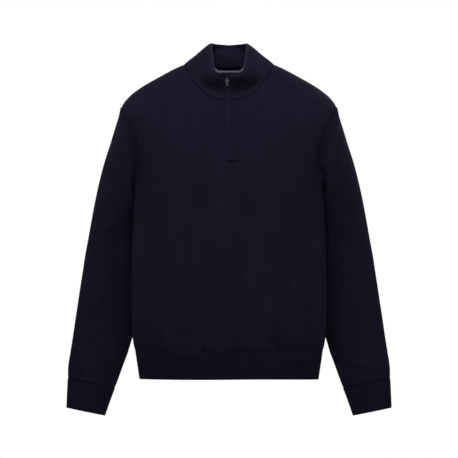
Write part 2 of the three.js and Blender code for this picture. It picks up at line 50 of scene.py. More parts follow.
camera_data = bpy.data.cameras.new("camera")
camera_data.sensor_width = 36
camera_data.lens = CAMERA_AWAY * camera_data.sensor_width / VIEW_WIDTH
camera_data.clip_end = 80
camera = bpy.data.objects.new("camera", camera_data)
camera.location = (0, -CAMERA_AWAY, CAMERA_HEIGHT)
camera.rotation_euler = (math.pi / 2, 0, 0)
bpy.context.scene.collection.objects.link(camera)
bpy.context.scene.camera = camera
bpy.context.scene.view_settings.view_transform = "Standard"


def area_light(name, place, target, size, power):
    """A round soft lamp at a place, aimed at a target."""
    data = bpy.data.lights.new(name, "AREA")
    data.shape = "DISK"
    data.size = size
    data.energy = power
    light = bpy.data.objects.new(name, data)
    light.location = place
    light.rotation_euler = (Vector(target) - Vector(place)).to_track_quat("-Z", "Y").to_euler()
    bpy.context.scene.collection.objects.link(light)


area_light("key", (-0.1, -1.5, 1.12), (0, 0, -0.1), 1.4, 27)
area_light("fill_left", (-1.5, -1.6, 0.95), (0, 0, -0.1), 1.0, 7.6)
area_light("fill_right", (1.5, -1.6, 0.95), (0, 0, -0.1), 1.0, 10.2)
area_light("rim_left", (-1.7, 0.7, 1.0), (0, 0, -0.1), 1.0, 9)
area_light("rim_right", (1.7, 0.7, 1.0), (0, 0, -0.1), 1.0, 9)
area_light("back", (0.6, 2.6, 1.5), (0, 0, -0.3), 2.0, 34)

world = bpy.data.worlds.new("studio")
bpy.context.scene.world = world
world.use_nodes = True
world_nodes = world.node_tree.nodes
world_links = world.node_tree.links
background = world_nodes["Background"]
background.inputs["Color"].default_value = (1, 1, 1, 1)
# The backdrop is white, and it lights the cloth only a little.
seen = world_nodes.new("ShaderNodeLightPath")
level = world_nodes.new("ShaderNodeMapRange")
level.inputs["To Min"].default_value = SURROUND
level.inputs["To Max"].default_value = 1.0
world_links.new(seen.outputs["Is Camera Ray"], level.inputs["Value"])
world_links.new(level.outputs["Result"], background.inputs["Strength"])


# ---- Front and back of the body
# Two panels of fine navy knit, shaped and linked together at the sides and shoulders.
# The front is slit down the middle for the zip, and both are open at the armholes.
# Sizes are in mm, and heights start at the hem's lower edge. The frame starts at HOLD_HEIGHT.
HOLD_HEIGHT = 650
KNIT = 1.5
BACK_SQUARE = 2.1
ZIP = {"top_x": -4.6, "foot_x": 2.6, "top_z": 659, "foot_z": 471}
SLOT_HALF = 4.5
ARMHOLE = {"y": 3, "z": 494, "half_depth": 62, "half_height": 87}
ARMHOLE_SIDE = 130
OUTSIDE = 400
BODY_WAVES = 0.9
# The body sinks a little beside the armhole, between these heights
ARMHOLE_DIP = {"depth": 3.0, "reach": 9, "top": 575, "low": 425}

# side, front, back, side height, front height, back height, squareness
BODY_ROWS = [
    (201.4, 108, 95, 60.5, 60.5, 60.5, 2.4),
    (205.8, 113.5, 97, 78, 78, 78, 2.4),
    (209, 115.5, 97.5, 112, 112, 112, 2.4),
    (210.3, 115.5, 95, 165, 165, 165, 2.4),
    (210, 115.5, 94, 225, 225, 225, 2.4),
    (209, 117, 97, 285, 285, 285, 2.4),
    (206.5, 119, 102, 343, 340, 343, 2.4),
    (205.2, 121, 107, 395, 388, 393, 2.4),
    (206, 121.5, 110.5, 444, 430, 441, 2.4),
    (214.5, 119.5, 112, 494, 467, 488, 2.4),
    (225, 115, 110.5, 543, 502, 535, 2.4),
    (231.6, 110, 106.5, 575, 526, 570, 2.35),
    (228, 106.5, 103, 591, 541, 591, 2.3),
    (211, 103, 99.5, 611, 553, 608, 2.2),
    (184.4, 98.5, 94, 630.4, 566, 626, 2.1),
    (154.4, 93.5, 86, 647.6, 579, 645, 2.05),
    (122.6, 88.5, 76, 664.8, 590, 661, 2),
    (96.5, 84, 66, 677, 599.5, 672, 2),
]

# Soft folds from x1, z1 to x2, z2: width, and rise (under 0 for a trough)
FRONT_FOLDS = [
    (-108, 52, -70, 52, 14, 5.4),
    (-80, 94, -54, 62, 7, -3.4),
    (-40, 64, -16, 56, 12, 5.0),
    (124, 46, 172, 42, 12, 4.2),
    (130, 72, 176, 64, 9, -2.0),
    (88, 150, 100, 96, 11, 5.0),
    (-24, 150, -30, 104, 8, -2.6),
    (60, 110, 104, 66, 8, -2.4),
    (2, 350, -4, 180, 20, 5.0),
    (98, 360, 104, 240, 16, 4.6),
    (44, 370, 42, 230, 12, -3.6),
    (136, 360, 140, 220, 15, -4.2),
    (-176, 392, -150, 300, 14, -2),
    (178, 396, 150, 290, 14, -2.2),
    (-142, 190, -140, 100, 8, 2.2),
    (-150, 132, -96, 88, 9, -1.2),
    (18, 92, 44, 70, 8, 1.3),
    (30, 150, 62, 84, 10, -1.4),
    (-70, 240, -98, 120, 17, 1.3),
    (-128, 300, -134, 168, 15, -1.1),
    (146, 210, 160, 104, 13, 1.2),
    (-110, 430, -146, 386, 15, 1.1),
    (104, 436, 150, 392, 15, 1.2),
    (-34, 452, -20, 392, 16, -0.8),
    (-150, 520, -120, 470, 17, -1.0),
    (152, 516, 128, 462, 17, -1.0),
]
BACK_FOLDS = [
    (-110, 80, -40, 76, 12, 3),
    (50, 84, 120, 78, 11, 2.8),
    (4, 118, 14, 66, 11, -2.4),
    (-96, 230, -120, 110, 15, 2.6),
    (92, 250, 124, 126, 16, 2.2),
    (-6, 420, 2, 210, 26, -2.2),
    (-168, 400, -140, 280, 15, -2.4),
    (170, 404, 138, 300, 15, -2),
    (-60, 132, -34, 74, 9, -1.4),
    (36, 140, 62, 70, 9, 1.2),
    (-150, 150, -132, 78, 11, 1.2),
    (-60, 470, -96, 380, 18, 1.1),
    (64, 476, 92, 386, 18, -1.1),
    (-20, 590, 26, 566, 17, -1.0),
    (-128, 560, -88, 520, 16, 1.0),
    (118, 548, 82, 516, 16, 1.1),
]


def along(table, places):
    """The rows of a table at fractional places, on a smooth curve through the rows."""
    rows = np.asarray(table, float)
    places = np.asarray(places, float)
    low = np.clip(np.floor(places).astype(int), 0, len(rows) - 2)
    t = (places - low).reshape((-1,) + (1,) * (rows.ndim - 1))
    padded = np.concatenate([[2 * rows[0] - rows[1]], rows, [2 * rows[-1] - rows[-2]]])
    a, b, c, d = (padded[low + k] for k in range(4))
    bend = t * t * (2 * a - 5 * b + 4 * c - d)
    return 0.5 * (2 * b + t * (c - a) + bend + t * t * t * (3 * b - a - 3 * c + d))


def signed_power(value, exponent):
    """A power that keeps the value's sign."""
    return np.sign(value) * np.abs(value) ** exponent


def oval(rows, angles, dip=2.5, back_dip=2.5):
    """Rings of the body or collar. Angle 0 is the wearer's left, and it runs to the back."""
    side, front, back, side_z, front_z, back_z, square = (rows[:, k : k + 1] for k in range(7))
    at_front = np.sin(angles) < 0
    square = np.where(at_front, square, np.minimum(square, BACK_SQUARE))
    across = signed_power(np.cos(angles), 2 / square)
    through = signed_power(np.sin(angles), 2 / square)
    middle = np.where(at_front, front_z, back_z)
    lift = np.abs(across) ** np.where(at_front, dip, back_dip)
    depth = np.where(at_front, front, back)
    height = middle + (side_z - middle) * lift
    return np.stack([side * across, depth * through, height], axis=-1)


def evened(rings, count):
    """Each ring of points again, with count points an even way apart along it."""
    step = np.linalg.norm(np.diff(rings, axis=1), axis=2)
    length = np.concatenate([np.zeros((len(rings), 1)), np.cumsum(step, axis=1)], axis=1)
    made = np.empty((len(rings), count, 3))
    for row, (ring, far) in enumerate(zip(rings, length)):
        wanted = np.linspace(0, far[-1], count)
        for axis in range(3):
            made[row, :, axis] = np.interp(wanted, far, ring[:, axis])
    return made


def grid_normals(grid, wraps):
    """Outward directions at a grid's points. A tube's last column meets its first."""
    up = np.gradient(grid, axis=0)
    if wraps:
        across = np.roll(grid, -1, axis=1) - np.roll(grid, 1, axis=1)
    else:
        across = np.gradient(grid, axis=1)
    normal = np.cross(across, up)
    return normal / np.maximum(np.linalg.norm(normal, axis=2, keepdims=True), 1e-9)


def fold_rise(folds, grid, facing):
    """How far soft ridges and troughs lift the cloth at each point."""
    rise = np.zeros(grid.shape[:2])
    for x1, z1, x2, z2, width, height in folds:
        dx, dz = x2 - x1, z2 - z1
        px, pz = grid[..., 0] - x1, grid[..., 2] - z1
        t = np.clip((px * dx + pz * dz) / (dx * dx + dz * dz), 0, 1)
        away = np.hypot(px - t * dx, pz - t * dz) / width
        rise += height * np.exp(-away * away) * facing
    return rise


def unevenness(grid, seed, height):
    """A slow, slight waviness, as hand-steamed knit has."""
    random = np.random.default_rng(seed)
    total = np.zeros(grid.shape[:2])
    for wave in range(9):
        length = random.uniform(34, 120)
        turn = random.uniform(-0.5, 0.5) + (math.pi / 2 if wave % 3 == 0 else 0)
        sideways = grid[..., 0] * math.cos(turn) + grid[..., 1] * 0.6
        phase = (sideways + grid[..., 2] * math.sin(turn)) * 2 * math.pi / length
        total += np.sin(phase + random.uniform(0, 2 * math.pi)) * length / 120
    return total * height / 3


def zip_x(z):
    """Where the zip, which leans a little, lies across the front at a height."""
    lean = (ZIP["top_x"] - ZIP["foot_x"]) / (ZIP["top_z"] - ZIP["foot_z"])
    return ZIP["foot_x"] + lean * (z - ZIP["foot_z"])


def cloth_object(name, points, faces, reach=None, seams_and_painted_light=None):
    """An object from points in mm above the hem, with its cloth lengths as UV and a mask of painted
    shade at seams and elsewhere, and of painted highlights.
    """
    mesh = bpy.data.meshes.new(name)
    flat = np.asarray(points, float).reshape(-1, 3).copy()
    flat[:, 2] -= HOLD_HEIGHT
    mesh.from_pydata((flat / 1000).tolist(), [], np.asarray(faces).tolist())
    if reach is not None:
        layer = mesh.uv_layers.new(name="cloth")
        corners = np.empty(len(mesh.loops), int)
        mesh.loops.foreach_get("vertex_index", corners)
        layer.data.foreach_set("uv", (reach.reshape(-1, 2)[corners] / 1000).ravel())
    # The mask holds painted shade above 0 and painted highlights below 0.
    dark = mesh.attributes.new("seams_and_painted_light", "FLOAT", "POINT")
    if seams_and_painted_light is not None:
        dark.data.foreach_set("value", np.asarray(seams_and_painted_light, float).ravel())
    mesh.validate()
    mesh.shade_smooth()
    piece = bpy.data.objects.new(name, mesh)
    bpy.context.scene.collection.objects.link(piece)
    return piece


def cloth_lengths(grid):
    """How far each point lies along the cloth from the first column and the first row."""
    sideways = np.linalg.norm(np.diff(grid, axis=1, prepend=grid[:, :1]), axis=2).cumsum(axis=1)
    sideways -= sideways[:, -1:] / 2
    upward = np.linalg.norm(np.diff(grid, axis=0, prepend=grid[:1]), axis=2).cumsum(axis=0)
    return np.stack([sideways, upward], axis=-1)


def quads(rows, columns, kept=None):
    """The faces of a grid, apart from those that the mask drops."""
    i, j = np.meshgrid(np.arange(rows - 1), np.arange(columns - 1), indexing="ij")
    if kept is not None:
        i, j = i[kept], j[kept]
    a = i * columns + j
    return np.stack([a, a + 1, a + columns + 1, a + columns], axis=-1).reshape(-1, 4)


def loose_removed(points, faces, *others):
    """The points that faces use, the faces numbered afresh, and the same rows of the others."""
    used = np.unique(faces)
    fresh = np.full(len(points), -1)
    fresh[used] = np.arange(len(used))
    return points[used], fresh[faces], *(other[used] for other in others)


def thickened(piece, thickness):
    """The cloth's thickness, added on its inner side."""
    shell = piece.modifiers.new("thickness", "SOLIDIFY")
    shell.thickness = thickness / 1000
    shell.offset = -1
    shell.use_even_offset = False
    return piece


BODY_STEPS = 188
BODY_COLUMNS = 84
FINE = 400
body_places = np.linspace(0, len(BODY_ROWS) - 1, BODY_STEPS)
body_rows = along(BODY_ROWS, body_places)


def front_part(start_across, end_across, count, rows):
    """The front between two places across, each given in mm for every row."""
    side, square = rows[:, :1], rows[:, 6:7]
    angles = [
        2 * math.pi - np.arccos(np.clip(signed_power(edge / side, square / 2), -1, 1))
        for edge in (start_across, end_across)
    ]
    t = np.linspace(0, 1, FINE)
    return evened(oval(rows, angles[0] * (1 - t) + angles[1] * t), count)


# The row nearest the zip's foot is moved to it, so that the slit ends square.
foot_row = int(np.abs(body_rows[:, 4] - ZIP["foot_z"]).argmin())
body_places[foot_row] = np.interp(ZIP["foot_z"], body_rows[:, 4], body_places)
body_rows = along(BODY_ROWS, body_places)
slot_x = zip_x(body_rows[:, 4:5])
full_side = body_rows[:, :1]
front_left_of = front_part(-full_side, slot_x - SLOT_HALF, BODY_COLUMNS, body_rows)
front_between = front_part(slot_x - SLOT_HALF, slot_x + SLOT_HALF, 5, body_rows)
front_right_of = front_part(slot_x + SLOT_HALF, full_side, BODY_COLUMNS, body_rows)
front_grid = np.concatenate([front_left_of, front_between[:, 1:-1], front_right_of], axis=1)
back_angles = np.linspace(0, math.pi, FINE)
back_grid = evened(oval(body_rows, back_angles), front_grid.shape[1])

# The whole body ring gives smooth normals across the side seams.
ring_grid = np.concatenate([back_grid[:, :-1], front_grid[:, :-1]], axis=1)
ring_normals = grid_normals(ring_grid, True)
columns = front_grid.shape[1]
back_normals = ring_normals[:, :columns]
front_normals = np.concatenate([ring_normals[:, columns - 1 :], ring_normals[:, :1]], axis=1)


def armhole_share(points):
    """Under 1 inside the armhole's tunnel, and 1 on its rim."""
    y = (points[..., 1] - ARMHOLE["y"]) / ARMHOLE["half_depth"]
    z = (points[..., 2] - ARMHOLE["z"]) / ARMHOLE["half_height"]
    return np.where(np.abs(points[..., 0]) > ARMHOLE_SIDE, np.hypot(y, z), 9)


def pressed(grid, normals, folds, seed):
    """The panel with its folds and waviness, which die out at the hem, neck and side seams."""
    rise = fold_rise(folds, grid, np.abs(normals[..., 1]))
    edge = np.minimum(np.arange(BODY_STEPS), np.arange(BODY_STEPS)[::-1])[:, None]
    calm = np.clip(edge / 9, 0, 1) * np.clip((np.abs(normals[..., 1]) - 0.05) / 0.3, 0, 1)
    rise += unevenness(grid, seed, BODY_WAVES) * calm
    from_rim = (armhole_share(grid) - 1) * ARMHOLE["half_depth"]
    beside = np.clip((ARMHOLE_DIP["top"] - grid[..., 2]) / 50, 0, 1)
    beside *= np.clip((grid[..., 2] - ARMHOLE_DIP["low"]) / 30, 0, 1)
    rise -= ARMHOLE_DIP["depth"] * np.exp(-((from_rim / ARMHOLE_DIP["reach"]) ** 2)) * beside
    return grid + normals * rise[..., None]


front_grid = pressed(front_grid, front_normals, FRONT_FOLDS, 11)
back_grid = pressed(back_grid, back_normals, BACK_FOLDS, 12)
ring_grid = np.concatenate([back_grid[:, :-1], front_grid[:, :-1]], axis=1)


def ringed(values):
    """The first column again at the end, which closes each ring."""
    return np.concatenate([values, values[:, :1]], axis=1)


def tree_of(grid, wraps):
    """A grid's surface, for finding where a straight line meets it."""
    closed = ringed(grid) if wraps else grid
    faces = quads(*closed.shape[:2])
    return BVHTree.FromPolygons(closed.reshape(-1, 3).tolist(), faces.tolist())


body_tree = tree_of(ring_grid, True)


def open_armholes(grid):
    """Faces that stay, with the points next to the rim moved onto it."""
    share = armhole_share(grid)
    inside = share < 1
    around = np.zeros_like(inside)
    for down in (-1, 0, 1):
        for over in (-1, 0, 1):
            around |= ~np.roll(inside, (down, over), axis=(0, 1))
    rim = inside & around
    moved = grid.copy()
    for i, j in zip(*np.nonzero(rim)):
        x, y, z = grid[i, j]
        y = ARMHOLE["y"] + (y - ARMHOLE["y"]) / share[i, j]
        z = ARMHOLE["z"] + (z - ARMHOLE["z"]) / share[i, j]
        side = math.copysign(1, x)
        hit = body_tree.ray_cast(Vector((OUTSIDE * side, y, z)), Vector((-side, 0, 0)))[0]
        moved[i, j] = hit
    deep = inside & ~rim
    gone = np.zeros((grid.shape[0] - 1, grid.shape[1] - 1), bool)
    all_rim = np.ones_like(gone)
    for down in (0, 1):
        for over in (0, 1):
            part = (slice(down, grid.shape[0] - 1 + down), slice(over, grid.shape[1] - 1 + over))
            gone |= deep[part]
            all_rim &= inside[part]
    return moved, ~(gone | all_rim)


def seam_mask(grid, *shares):
    """1 at a seam, fading to 0 a few millimetres away."""
    mask = np.zeros(grid.shape[:2])
    for share in shares:
        mask = np.maximum(mask, np.exp(-(share**2)))
    return mask


def body_panel(name, grid, normals, slit):
    """A panel with its edges rolled in at the seams, open armholes and, in front, the slit."""
    rolled = grid.copy()
    from_side = np.minimum(np.arange(columns), np.arange(columns)[::-1])
    # Edges dip into their seams and swell beside them, in mm at each column or row.
    roll = np.interp(from_side, [0, 1, 2, 3, 4], [0.9, 0.15, -0.25, -0.12, 0])
    from_hem = np.arange(BODY_STEPS)[:, None]
    roll = np.maximum(roll, np.interp(from_hem, [0, 1, 2], [0.35, 0.08, 0]))
    from_neck = from_hem[::-1]
    roll = np.maximum(roll, np.interp(from_neck, [0, 1, 2, 3], [0.9, 0.25, 0.05, 0]))
    rolled -= normals * roll[..., None]
    points, kept = open_armholes(rolled)
    if slit:
        kept[foot_row:, BODY_COLUMNS - 1 : BODY_COLUMNS + 3] = False
    # Painted shade along the side, hem and neck seams.
    mask = seam_mask(grid, from_side * 2.2, 1.1 + from_hem * 2.2, from_neck * 1.6)
    faces = quads(BODY_STEPS, columns, kept)
    flat, faces, reach, mask = loose_removed(
        points.reshape(-1, 3), faces, cloth_lengths(grid).reshape(-1, 2), mask.ravel()
    )
    return thickened(cloth_object(name, flat, faces, reach, mask), KNIT)


front = body_panel("sweater_front", front_grid, front_normals, True)
back = body_panel("sweater_back", back_grid, back_normals, False)


class Wire:
    """An output of a node that can be used in sums, with one method that makes any node."""

    def __init__(self, nodes, socket=None):
        self.nodes, self.socket = nodes, socket

    def node(self, kind, settings, sockets, output=0):
        """A new node from its type, its settings and the values or wires of its inputs."""
        made = self.nodes.new(kind)
        for name, value in settings.items():
            setattr(made, name, value)
        for name, value in sockets.items():
            if isinstance(value, Wire):
                self.nodes.id_data.links.new(value.socket, made.inputs[name])
            else:
                made.inputs[name].default_value = value
        return Wire(self.nodes, made.outputs[output])

    def maths(self, operation, other, backward=False):
        """An operation on this and another value, which comes first where it is backward."""
        pair = (other, self) if backward else (self, other)
        return self.node("ShaderNodeMath", {"operation": operation}, dict(enumerate(pair)))

    def __add__(self, other):
        return self.maths("ADD", other)

    def __radd__(self, other):
        return self.maths("ADD", other, True)

    def __sub__(self, other):
        return self.maths("SUBTRACT", other)

    def __rsub__(self, other):
        return self.maths("SUBTRACT", other, True)

    def __mul__(self, other):
        return self.maths("MULTIPLY", other)

    def __rmul__(self, other):
        return self.maths("MULTIPLY", other, True)

    def function(self, operation, *others):
        """A function of this value and any others that it takes."""
        sockets = dict(enumerate((self, *others)))
        return self.node("ShaderNodeMath", {"operation": operation}, sockets)

    def blend(self, low, high):
        """From one colour to another as this number goes from 0 to 1."""
        ends = [c if isinstance(c, Wire) else (*c, 1) for c in (low, high)]
        sockets = {0: self, 6: ends[0], 7: ends[1]}
        return self.node("ShaderNodeMix", {"data_type": "RGBA"}, sockets, 2)


YARN_GRAIN = 420
STREAKS = (46, 46, 10)
PATCHES = 110
SEAM_AND_PAINTED_SHADE = 0.75
LOOP_DEPTH = 0.0004


def knit_cloth(name, deep, raised, wale=0.0017, course=0.0013, bump=0.35, lines=0.0):
    """Fine knit: slanting loops, darker in their hollows as painted shade, mottled yarn, a soft
    nap, and the mask's painted shade and highlights.

    The mask darkens the cloth above 0 as painted shade, at seams and in deep folds, and lightens it
    below 0 as a painted highlight.
    """
    material = bpy.data.materials.new(name)
    material.use_nodes = True
    nodes = material.node_tree.nodes
    shader = nodes["Principled BSDF"]
    start = Wire(nodes)
    uv = start.node("ShaderNodeUVMap", {"uv_map": "cloth"}, {})
    across = start.node("ShaderNodeSeparateXYZ", {}, {0: uv})
    upward = Wire(nodes, across.socket.node.outputs[1])
    leg = (across * (1 / wale)).function("PINGPONG", 0.5)
    loop = (upward * (1 / course) + leg * 1.3) * (2 * math.pi)
    ridge = (leg * (2 * math.pi)).function("SINE")
    height = ridge * (0.55 + 0.45 * loop.function("SINE"))
    if lines:
        rib = (across * (2 * math.pi / lines)).function("SINE")
        height = height * 0.6 + (0.5 + 0.5 * rib) * 0.8
    where = start.node("ShaderNodeTexCoord", {}, {}, 3)
    grain = {"Vector": where, "Scale": YARN_GRAIN, "Detail": 3, "Roughness": 0.6}
    mottle = start.node("ShaderNodeTexNoise", {}, grain)
    drawn = start.node("ShaderNodeMapping", {}, {"Vector": where, "Scale": STREAKS})
    streaks = start.node("ShaderNodeTexNoise", {}, {"Vector": drawn, "Scale": 1, "Detail": 3})
    patches = start.node("ShaderNodeTexNoise", {}, {"Vector": where, "Scale": PATCHES, "Detail": 2})
    uneven = streaks * 0.75 + patches * 0.45
    # Painted shade: the colour runs from the deep to the raised tone with the loops' height, mixed
    # with the yarn's random mottle and streaks.
    share = (height * 0.35 + mottle * 0.5 + uneven - 0.65).function("MINIMUM", 1.0)
    colour = share.function("MAXIMUM", 0.0).blend(deep, raised)
    seams_and_painted_light = start.node("ShaderNodeAttribute", {"attribute_name": "seams_and_painted_light"}, {}, 2)
    # Painted shade at seams, creases and folds, where the mask is above 0.
    colour = (seams_and_painted_light * SEAM_AND_PAINTED_SHADE).blend(colour, tuple(0.25 * c for c in deep))
    # Painted highlight where the mask is below 0.
    painted_highlight = (seams_and_painted_light * -1.0).function("MAXIMUM", 0.0)
    colour = painted_highlight.blend(colour, tuple(1.3 * c + 0.016 for c in raised))
    relief = {"Strength": bump, "Distance": LOOP_DEPTH, "Height": height + mottle * 0.6}
    normal = start.node("ShaderNodeBump", {}, relief)
    links = material.node_tree.links
    links.new(colour.socket, shader.inputs["Base Color"])
    links.new(normal.socket, shader.inputs["Normal"])
    shader.inputs["Roughness"].default_value = 0.92
    shader.inputs["Specular IOR Level"].default_value = 0.08
    shader.inputs["Sheen Weight"].default_value = 0.03
    shader.inputs["Sheen Roughness"].default_value = 0.55
    shader.inputs["Sheen Tint"].default_value = (0.5, 0.46, 0.85, 1)
    return material


body_knit = knit_cloth("navy_knit", (0.0066, 0.0056, 0.0142), (0.0135, 0.0119, 0.0284))
# Cut with straight sides, sloping shoulders and hollowed armholes and neck.
for panel, node, cut, area, other in (
    (front, "front_panel", (0.58, 0.60), 0.295, "sweater_back"),
    (back, "back_panel", (0.56, 0.63), 0.29, "sweater_front"),
):
    panel.data.materials.append(body_knit)
    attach(panel, "garment")
    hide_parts(node)


# ---- Sleeves
# Each is a tapered tube of the same knit, closed by a seam under the arm. Its top edge is
# linked round the armhole, and it hangs down beside and a little behind the body.
LAP = 2.2

# outer x, outer z, outer y, inner x, inner z, inner y, half depth
SLEEVE_ROWS = [
    (237.8, 563, 3, 205.6, 396.5, 7, 65.5),
    (245.5, 538, 3, 203.8, 380.5, 16, 65),
    (255.4, 504, 4, 203, 361.5, 27, 62),
    (265.8, 470, 6, 203.8, 342, 39, 57.5),
    (274.5, 436, 9, 204.2, 320, 50, 53),
    (282, 402, 12, 203.4, 298, 59.5, 48),
    (288.9, 367, 15, 198, 275, 67.5, 43.5),
    (295.4, 333, 18, 191, 251, 71, 40),
    (302, 298, 20, 184, 226, 72, 37.5),
    (308.8, 264, 22, 179, 200, 71, 35.5),
    (314.2, 230, 24, 178, 173, 69, 34),
    (319.8, 196, 25, 183, 146, 66, 32),
    (325, 162, 26, 194, 118, 62, 30),
    (330.4, 127, 26, 207.8, 90, 60, 28),
    (335.4, 93, 25, 216.6, 62, 58, 26.5),
    (341, 58, 26, 227, 34, 56, 25),
    (345.8, 28, 27, 237, 6, 53, 24),
    (346.6, 1.6, 28, 246.2, -19.4, 50, 23),
]
SLEEVE_FOLDS = [
    (228, 470, 268, 402, 14, -1.5),
    (220, 420, 262, 330, 13, 1.4),
    (216, 300, 286, 262, 14, -1.3),
    (226, 236, 300, 214, 13, 1.2),
    (236, 168, 300, 128, 12, -1.1),
    (246, 44, 316, 22, 9, 1.7),
    (262, 20, 322, 6, 7, -1.5),
    (236, 392, 280, 352, 9, -1.2),
    (250, 330, 290, 320, 9, 1.2),
    (232, 200, 280, 178, 8, 1.2),
    (262, 108, 322, 96, 9, 1.3),
    (268, 76, 318, 62, 7, -1.2),
    (296, 60, 334, 40, 6, 1.0),
]
SLEEVE_SQUARE = 0.88
SLEEVE_WAVES = 0.7
AROUND_SLEEVE = 112
SLEEVE_FINE = 10
WELD_REACH = 0.00002
# A soft crease outside the armhole seam, with painted shade in it, which fades out over the
# shoulder and under the arm
CREASE = {"depth": 8.0, "away": 11, "reach": 10, "top": 570, "low": 408, "shade": 0.62}
# Where the sleeve's inner side may meet the body, how it nears it, and the painted shadow there
CONTACT = {"x": 216, "z": 412, "air": 0.35, "cling": 6.0, "shade": 0.5, "shade_reach": 9}


def sleeve_rings(rows, turns):
    """Rings from their outer end (turn 0) round the back to their inner end."""
    out_x, out_z, out_y, in_x, in_z, in_y, thick = (rows[:, k : k + 1, None] for k in range(7))
    outer = np.concatenate([out_x, out_y, out_z], axis=2)
    inner = np.concatenate([in_x, in_y, in_z], axis=2)
    centre, reach = (outer + inner) / 2, (outer - inner) / 2
    across = np.array([0, 1, 0]) - reach * reach[..., 1:2] / (reach**2).sum(axis=2, keepdims=True)
    across /= np.linalg.norm(across, axis=2, keepdims=True)
    cos, sin = (signed_power(f(turns), SLEEVE_SQUARE)[None, :, None] for f in (np.cos, np.sin))
    return centre + reach * cos + across * thick * sin


def armhole_ring(turns, grow, lift):
    """A ring on the body's surface round the armhole."""
    ring = []
    for turn in turns:
        y = ARMHOLE["y"] + (ARMHOLE["half_depth"] + grow) * math.sin(turn)
        z = ARMHOLE["z"] + (ARMHOLE["half_height"] + grow) * math.cos(turn)
        hit, normal, _, _ = body_tree.ray_cast(Vector((OUTSIDE, y, z)), Vector((-1, 0, 0)))
        ring.append(hit + normal * lift * (1 if normal.x > 0 else -1))
    return np.array(ring)


turns = np.arange(AROUND_SLEEVE) / AROUND_SLEEVE * 2 * math.pi
plain_rings = sleeve_rings(np.asarray(SLEEVE_ROWS, float), turns)
# The top edge swells a little and then meets the body just outside the armhole.
seam_ring = armhole_ring(turns, LAP + 1.2, 0.5)
bulge_ring = armhole_ring(turns, LAP - 0.6, 1.9)
sleeve_stack = np.concatenate([plain_rings[::-1], bulge_ring[None], seam_ring[None]])
last = len(sleeve_stack) - 1
up_sleeve = np.linspace(0, last - 2, (last - 2) * SLEEVE_FINE + 1)[:-1]
up_swell = np.linspace(last - 2, last - 1, 7)[:-1]
sleeve_places = np.concatenate([up_sleeve, up_swell, np.linspace(last - 1, last, 4)])
sleeve_grid = along(sleeve_stack, sleeve_places)
sleeve_normals = grid_normals(sleeve_grid, True)
from_top = np.arange(len(sleeve_grid))[::-1][:, None]
from_seam = np.linalg.norm(np.diff(sleeve_grid[::-1], axis=0, prepend=sleeve_grid[-1:]), axis=2)
from_seam = from_seam.cumsum(axis=0)[::-1]
seam_height = sleeve_grid[-1, :, 2]
below_shoulder = np.clip((CREASE["top"] - seam_height) / 55, 0, 1)
above_underarm = np.clip((seam_height - CREASE["low"]) / 34, 0, 1)
crease = np.exp(-(((from_seam - CREASE["away"]) / CREASE["reach"]) ** 2))
crease *= below_shoulder * above_underarm
calm = np.clip((from_top - 9) / 14, 0, 1) * np.clip(np.arange(len(sleeve_grid)) / 7, 0, 1)[:, None]
sleeve_facing = np.abs(sleeve_normals[..., 1])
sleeve_rise = fold_rise(SLEEVE_FOLDS, sleeve_grid, sleeve_facing) * np.clip(from_top - 9, 0, 1)
sleeve_rise += unevenness(sleeve_grid, 21, SLEEVE_WAVES) * calm * sleeve_facing
sleeve_rise -= CREASE["depth"] * crease * np.clip(from_seam / 5, 0, 1)
sleeve_grid = sleeve_grid + sleeve_normals * sleeve_rise[..., None]
# Painted shade at the armhole and cuff seams and in the crease beside the armhole.
sleeve_seams_and_painted_shade = seam_mask(sleeve_grid, from_top * 0.8, 1.1 + from_top[::-1] * 1.6)
sleeve_seams_and_painted_shade = np.maximum(sleeve_seams_and_painted_shade, CREASE["shade"] * crease)
cuff_roll = np.interp(from_top[::-1], [0, 1, 2, 3], [0.9, 0.3, 0.05, 0])
sleeve_grid = sleeve_grid - sleeve_normals * cuff_roll[..., None]
# Where the sleeve comes near the body's side, it lies against it, under a painted shadow.
near_body = (sleeve_grid[..., 0] < CONTACT["x"]) & (sleeve_grid[..., 2] < CONTACT["z"])
for i, j in zip(*np.nonzero(near_body & (from_top > 2))):
    x, y, z = sleeve_grid[i, j]
    touched = body_tree.ray_cast(Vector((OUTSIDE, y, z)), Vector((-1, 0, 0)))[0]
    if touched is not None:
        gap = max(x - touched.x, 0)
        sleeve_grid[i, j, 0] = touched.x + CONTACT["air"] + gap * min(gap / CONTACT["cling"], 1)
        # Painted shadow where the body hides the sleeve, fading out low down.
        shade = CONTACT["shade"] * math.exp(-((gap / CONTACT["shade_reach"]) ** 2))
        shade *= min(max((z - 150) / 90, 0), 1)
        sleeve_seams_and_painted_shade[i, j] = max(sleeve_seams_and_painted_shade[i, j], shade)


def joined(piece):
    """A piece whose points merge where its surface meets itself."""
    weld = piece.modifiers.new("joined", "WELD")
    weld.merge_threshold = WELD_REACH
    return piece


def tube(name, grid, seams_and_painted_light, mirror):
    """A closed tube from a grid whose last column meets its first."""
    closed, mask = ringed(grid), ringed(seams_and_painted_light)
    reach = cloth_lengths(closed)
    faces = quads(*closed.shape[:2])
    if mirror:
        closed = closed * (-1, 1, 1)
        faces = faces[:, ::-1]
    return joined(cloth_object(name, closed, faces, reach, mask))


# Cut as one tapered piece, with a rounded head and a seam under the arm.
for side, mirror in (("left", False), ("right", True)):
    sleeve = thickened(tube(f"sweater_sleeve_{side}", sleeve_grid, sleeve_seams_and_painted_shade, mirror), KNIT)
    sleeve.data.materials.append(body_knit)
    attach(sleeve, "garment")
    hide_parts(f"sleeve_{side}")


